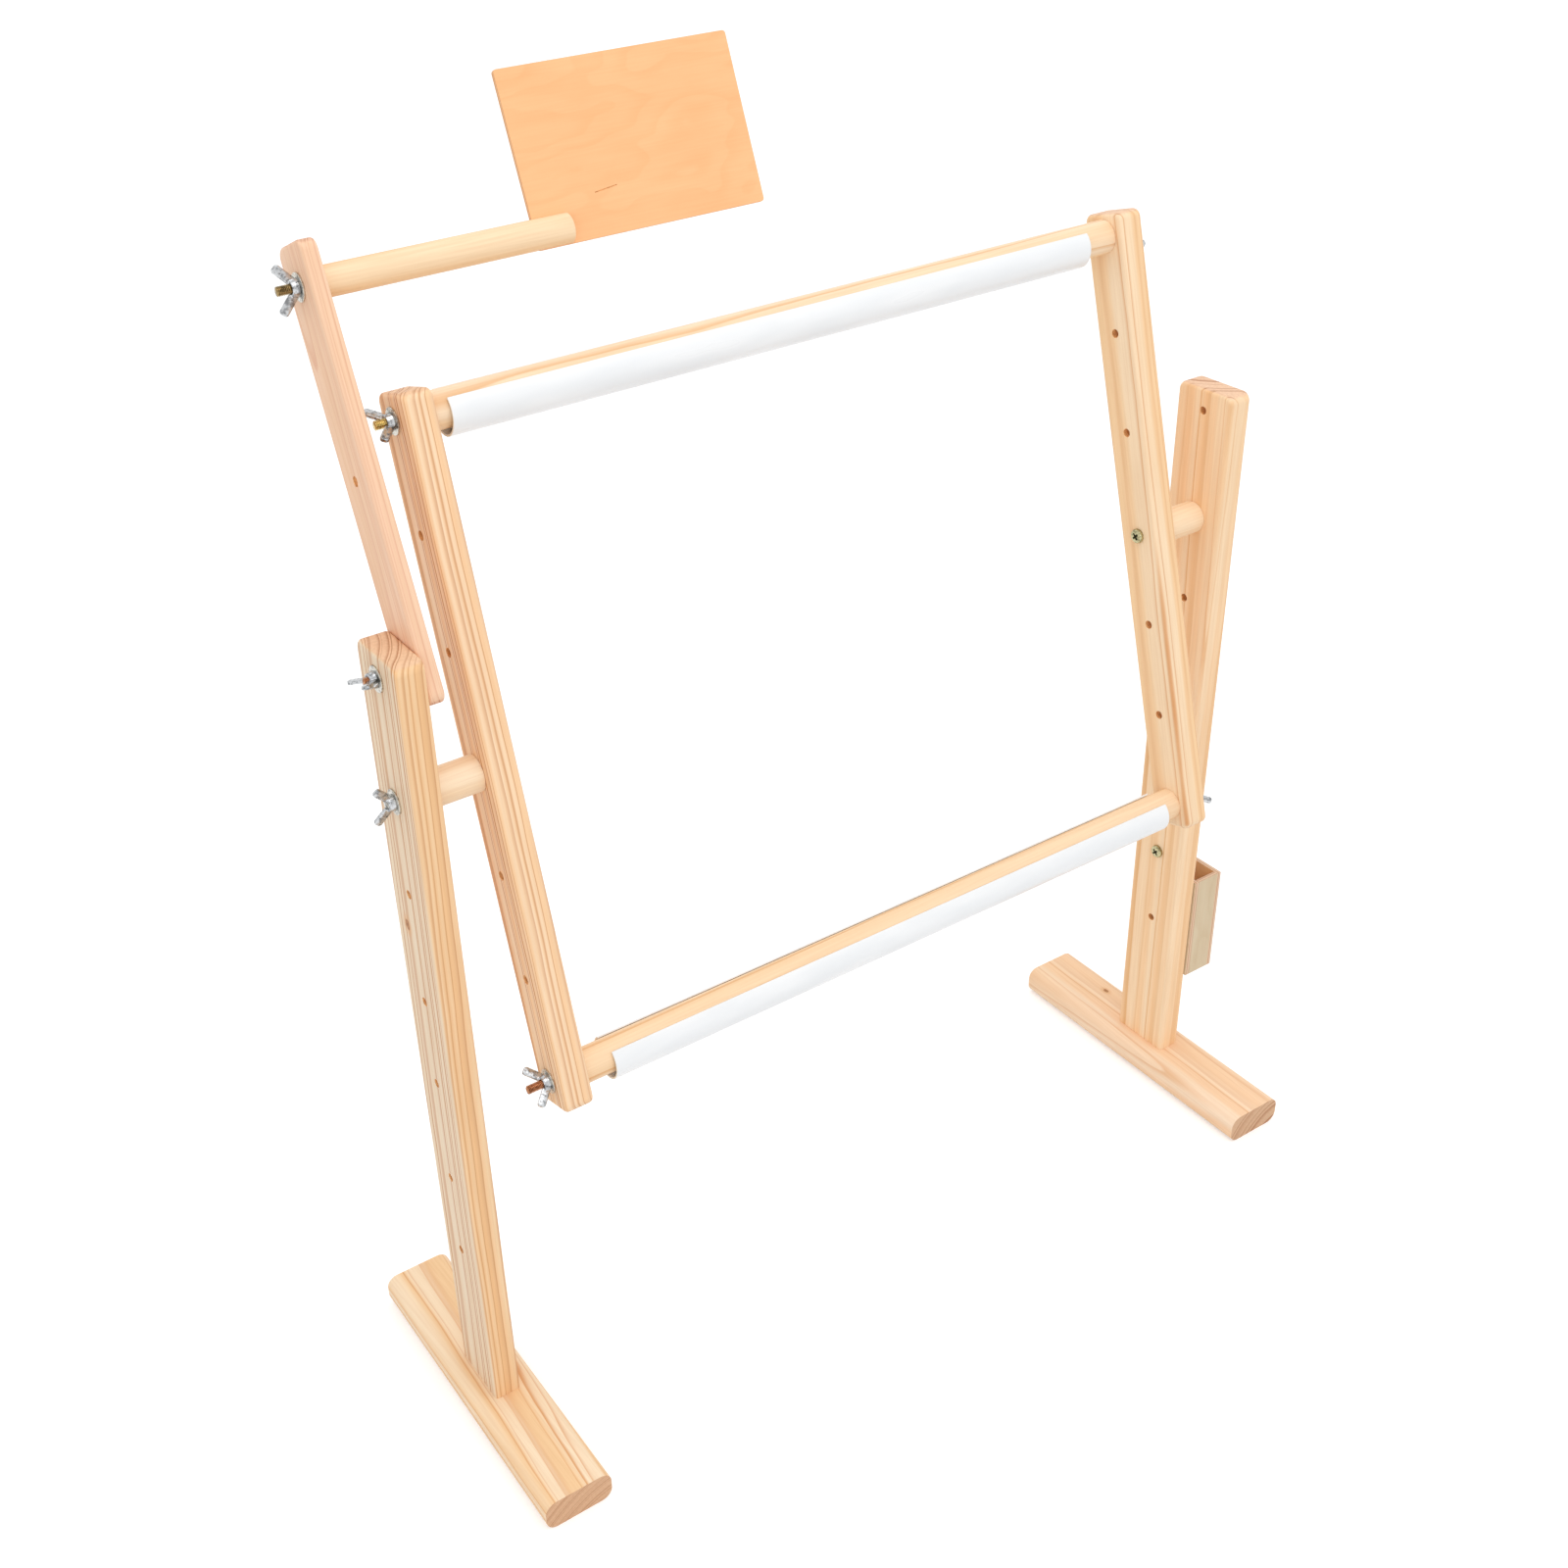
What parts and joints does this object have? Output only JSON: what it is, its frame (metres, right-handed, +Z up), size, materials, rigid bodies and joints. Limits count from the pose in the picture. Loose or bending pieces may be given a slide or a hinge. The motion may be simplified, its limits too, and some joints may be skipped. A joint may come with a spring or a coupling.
{
  "type": "embroidery frame stand",
  "caption": "Wooden floor stand holding a tilting embroidery frame between two legs, with cloth rollers and clips, a pattern board and a small side box.",
  "frame": {"origin": "on the floor, midway between the two legs, straight below the axis on which the embroidery frame tilts", "axes": "+X across the stand to the right, seen from the side where the user sits; +Y to the back, away from the user; +Z up"},
  "size_m": [0.7363, 0.256, 0.9162],
  "materials": {
    "pine": "sanded, unvarnished",
    "fine_wood": "sanded, unvarnished",
    "birch_ply": "sanded plywood",
    "box_ply": "sanded plywood",
    "white_plastic": "gloss",
    "bright_zinc": "bright zinc plate",
    "yellow_zinc": "yellow zinc plate"
  },
  "bodies": {
    "stand": {"left_foot": "pine", "right_foot": "pine", "left_post": "pine", "right_post": "pine", "left_front_foot_screw": "bright_zinc", "left_rear_foot_screw": "bright_zinc", "right_front_foot_screw": "bright_zinc", "right_rear_foot_screw": "bright_zinc", "left_spacer": "pine", "right_spacer": "pine", "left_pivot_bolt": "yellow_zinc", "right_pivot_bolt": "yellow_zinc", "left_pivot_washer": "bright_zinc", "right_pivot_washer": "bright_zinc", "pattern_pivot_bolt": "yellow_zinc", "pattern_pivot_washer": "bright_zinc", "box_back": "box_ply", "box_outer": "box_ply", "box_front": "box_ply", "box_rear": "box_ply", "box_bottom": "box_ply", "box_bolt": "yellow_zinc", "box_washer": "bright_zinc"},
    "frame": {"left_arm": "pine", "right_arm": "pine", "top_left_washer": "bright_zinc", "top_right_washer": "bright_zinc", "bottom_left_washer": "bright_zinc", "bottom_right_washer": "bright_zinc"},
    "top_roller": {"top_roller": "pine", "top_left_stud": "yellow_zinc", "top_right_stud": "yellow_zinc"},
    "bottom_roller": {"bottom_roller": "pine", "bottom_left_stud": "yellow_zinc", "bottom_right_stud": "yellow_zinc"},
    "top_clip": {"top_clip": "white_plastic"},
    "bottom_clip": {"bottom_clip": "white_plastic"},
    "pattern_arm": {"pattern_arm": "fine_wood", "pattern_dowel_washer": "bright_zinc"},
    "pattern_board": {"pattern_dowel": "pine", "pattern_dowel_stud": "yellow_zinc", "pattern_board": "birch_ply"},
    "left_pivot_nut": {"left_pivot_nut": "bright_zinc"},
    "right_pivot_nut": {"right_pivot_nut": "bright_zinc"},
    "top_left_nut": {"top_left_nut": "bright_zinc"},
    "top_right_nut": {"top_right_nut": "bright_zinc"},
    "bottom_left_nut": {"bottom_left_nut": "bright_zinc"},
    "bottom_right_nut": {"bottom_right_nut": "bright_zinc"},
    "pattern_pivot_nut": {"pattern_pivot_nut": "bright_zinc"},
    "pattern_dowel_nut": {"pattern_dowel_nut": "bright_zinc"},
    "box_nut": {"box_nut": "bright_zinc"}
  },
  "joints": [
    {"name": "frame_tilt", "type": "hinge", "parent": "stand", "child": "frame", "pos_m": [0, 0, 0.5335], "axis": [-1, 0, 0], "continuous": true},
    {"name": "top_roller_turn", "type": "hinge", "parent": "frame", "child": "top_roller", "pos_m": [0, 0.05768, 0.7458], "axis": [1, 0, 0], "continuous": true},
    {"name": "bottom_roller_turn", "type": "hinge", "parent": "frame", "child": "bottom_roller", "pos_m": [0, -0.05676, 0.32457], "axis": [1, 0, 0], "continuous": true},
    {"name": "top_clip_slide", "type": "slide", "parent": "top_roller", "child": "top_clip", "axis": [1, 0, 0], "range_m": [-0.009, 0.025]},
    {"name": "bottom_clip_slide", "type": "slide", "parent": "bottom_roller", "child": "bottom_clip", "axis": [1, 0, 0], "range_m": [-0.0205, 0.0135]},
    {"name": "pattern_arm_swing", "type": "hinge", "parent": "stand", "child": "pattern_arm", "pos_m": [0, 0, 0.6185], "axis": [-1, 0, 0], "range_deg": [-102, 58]},
    {"name": "pattern_board_turn", "type": "hinge", "parent": "pattern_arm", "child": "pattern_board", "pos_m": [0, 0.08391, 0.82619], "axis": [-1, 0, 0], "range_deg": [-70, 70]},
    {"name": "left_pivot_nut_turn", "type": "hinge", "parent": "stand", "child": "left_pivot_nut", "pos_m": [-0.35, 0, 0.5335], "axis": [-1, 0, 0], "continuous": true},
    {"name": "right_pivot_nut_turn", "type": "hinge", "parent": "stand", "child": "right_pivot_nut", "pos_m": [0.35, 0, 0.5335], "axis": [1, 0, 0], "continuous": true},
    {"name": "top_left_nut_turn", "type": "hinge", "parent": "top_roller", "child": "top_left_nut", "pos_m": [-0.295, 0.05768, 0.7458], "axis": [-1, 0, 0], "continuous": true},
    {"name": "top_right_nut_turn", "type": "hinge", "parent": "top_roller", "child": "top_right_nut", "pos_m": [0.295, 0.05768, 0.7458], "axis": [1, 0, 0], "continuous": true},
    {"name": "bottom_left_nut_turn", "type": "hinge", "parent": "bottom_roller", "child": "bottom_left_nut", "pos_m": [-0.295, -0.05676, 0.32457], "axis": [-1, 0, 0], "continuous": true},
    {"name": "bottom_right_nut_turn", "type": "hinge", "parent": "bottom_roller", "child": "bottom_right_nut", "pos_m": [0.295, -0.05676, 0.32457], "axis": [1, 0, 0], "continuous": true},
    {"name": "pattern_pivot_nut_turn", "type": "hinge", "parent": "stand", "child": "pattern_pivot_nut", "pos_m": [-0.35, 0, 0.6185], "axis": [-1, 0, 0], "continuous": true},
    {"name": "pattern_dowel_nut_turn", "type": "hinge", "parent": "pattern_board", "child": "pattern_dowel_nut", "pos_m": [-0.33, 0.08391, 0.82619], "axis": [-1, 0, 0], "continuous": true},
    {"name": "box_nut_turn", "type": "hinge", "parent": "stand", "child": "box_nut", "pos_m": [0.354, 0, 0.2255], "axis": [1, 0, 0], "continuous": true}
  ]
}
